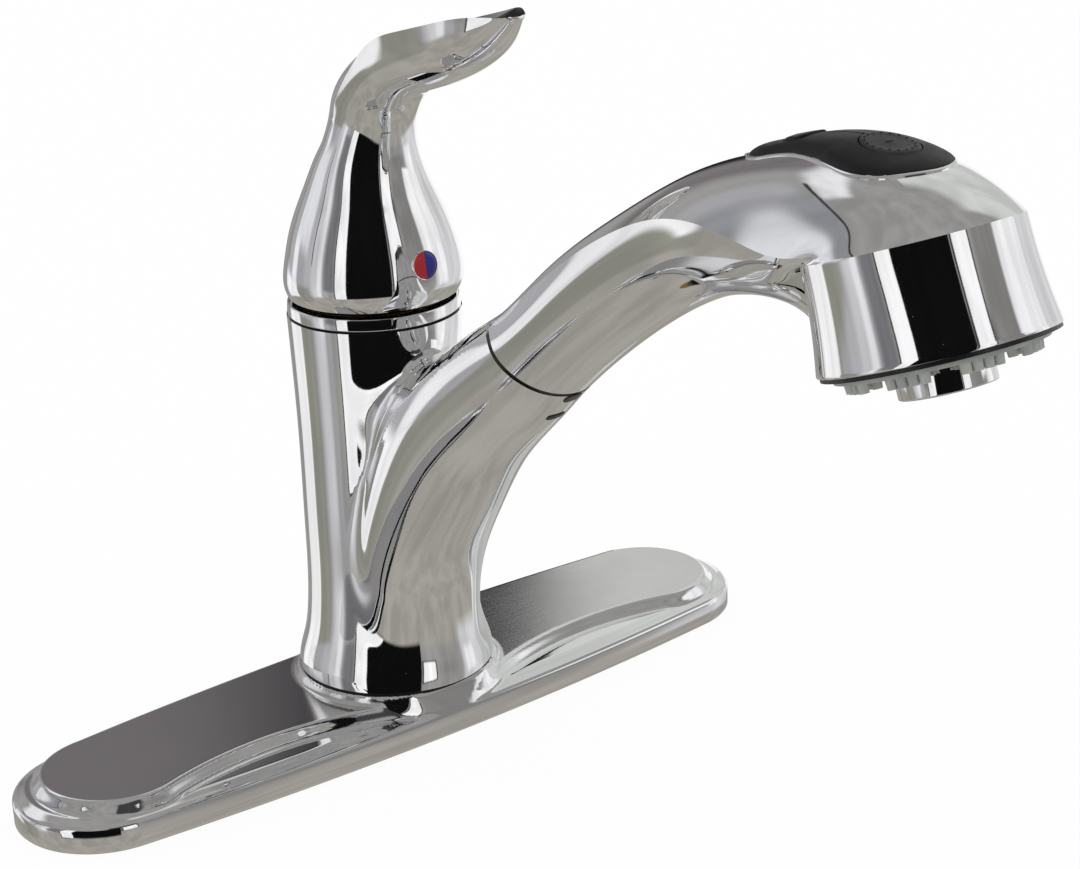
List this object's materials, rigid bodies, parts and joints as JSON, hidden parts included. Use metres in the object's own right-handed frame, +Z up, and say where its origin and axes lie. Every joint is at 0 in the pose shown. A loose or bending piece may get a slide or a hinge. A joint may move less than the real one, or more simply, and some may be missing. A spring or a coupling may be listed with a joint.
{
  "type": "pull-out kitchen faucet",
  "caption": "Deck-mounted single-lever kitchen faucet with an oval deck plate, a swivelling arched spout and a pull-out spray wand with two thumb buttons.",
  "frame": {"origin": "centre of the deck plate's underside, on the column axis, where the faucet rests on the deck", "axes": "X along the deck plate, spout towards -Y, Z up"},
  "size_m": [0.26, 0.2787, 0.2802],
  "materials": {
    "chrome": "polished chrome plate",
    "white_plastic": "moulded acetal, off white",
    "grey_foam": "closed-cell foam",
    "steel": "bright stainless steel",
    "black_plastic": "moulded black plastic",
    "brass": "turned brass",
    "black_rubber": "black rubber",
    "soft_black": "satin soft-touch black",
    "ceramic": "ground white ceramic",
    "index_red": "gloss red",
    "index_blue": "gloss blue",
    "grey_rubber": "grey-green silicone"
  },
  "bodies": {
    "base": {"deck_plate": "chrome", "plate_carrier": "white_plastic", "deck_gasket": "grey_foam", "plate_studs": "steel", "stud_nuts": "black_plastic", "mounting_shank": "brass", "rubber_washer": "black_rubber", "steel_washer": "steel", "mounting_nut": "black_plastic", "nut_screws": "steel", "valve_post": "brass", "inlet_nipples": "brass", "base_seal_ring": "black_rubber", "lower_glide_ring": "white_plastic", "upper_glide_ring": "white_plastic", "port_seals": "black_rubber", "cartridge_base": "white_plastic", "fixed_disc": "ceramic", "cartridge_housing": "white_plastic", "bonnet_nut": "brass", "trim_seal": "black_rubber", "trim_ring": "chrome"},
    "spout": {"spout_body": "chrome", "docking_collar": "black_plastic"},
    "rotor": {"cartridge_rotor": "white_plastic", "stem_pivot_pin": "steel"},
    "disc": {"moving_disc": "ceramic", "disc_carrier": "white_plastic"},
    "lever": {"handle": "chrome", "cartridge_stem": "steel", "handle_set_screw": "steel", "index_red": "index_red", "index_blue": "index_blue"},
    "wand": {"wand_shell": "chrome", "wand_spigot": "black_plastic", "hose_nipple": "brass", "check_valve": "white_plastic", "waterway": "white_plastic", "diverter_body": "white_plastic", "soft_pad": "soft_black", "rocker_pin": "steel", "spray_plate": "black_plastic", "head_seal": "black_rubber", "nozzle_mat": "grey_rubber", "aerator_housing": "chrome", "aerator_insert": "white_plastic", "aerator_washer": "black_rubber"},
    "stream_key": {"stream_button": "soft_black"},
    "rocker": {"toggle_rocker": "black_plastic"},
    "spray_key": {"spray_button": "soft_black", "diverter_spool": "black_plastic", "spool_seal": "black_rubber"}
  },
  "joints": [
    {"name": "spout_swivel", "type": "hinge", "parent": "base", "child": "spout", "pos_m": [0, 0, 0.06], "axis": [0, 0, 1], "range_deg": [-60, 60]},
    {"name": "temperature_turn", "type": "hinge", "parent": "base", "child": "rotor", "pos_m": [0, 0, 0.116], "axis": [0, 0, 1], "range_deg": [-45, 45]},
    {"name": "handle_lift", "type": "hinge", "parent": "rotor", "child": "lever", "pos_m": [0, 0, 0.116], "axis": [-1, 0, 0], "range_deg": [0, 18]},
    {"name": "disc_slide", "type": "slide", "parent": "rotor", "child": "disc", "axis": [0, -1, 0], "range_m": [0, 0.0024]},
    {"name": "wand_pull", "type": "slide", "parent": "spout", "child": "wand", "axis": [0, -0.7547, 0.6561], "range_m": [0, 0.5]},
    {"name": "stream_press", "type": "slide", "parent": "wand", "child": "stream_key", "axis": [0, 0, -1], "range_m": [0, 0.0012]},
    {"name": "rocker_tilt", "type": "hinge", "parent": "wand", "child": "rocker", "pos_m": [0, -0.1924, 0.1967], "axis": [-1, 0, 0], "range_deg": [0, 4.6]},
    {"name": "spray_rise", "type": "slide", "parent": "wand", "child": "spray_key", "axis": [0, 0.3336, 0.9427], "range_m": [0, 0.0014]}
  ],
  "couplings": [
    {"joint": "disc_slide", "follows": "handle_lift", "m_per_rad": 0.0074},
    {"joint": "rocker_tilt", "follows": "stream_press", "rad_per_m": 64.94},
    {"joint": "spray_rise", "follows": "stream_press", "ratio": 1.147}
  ]
}
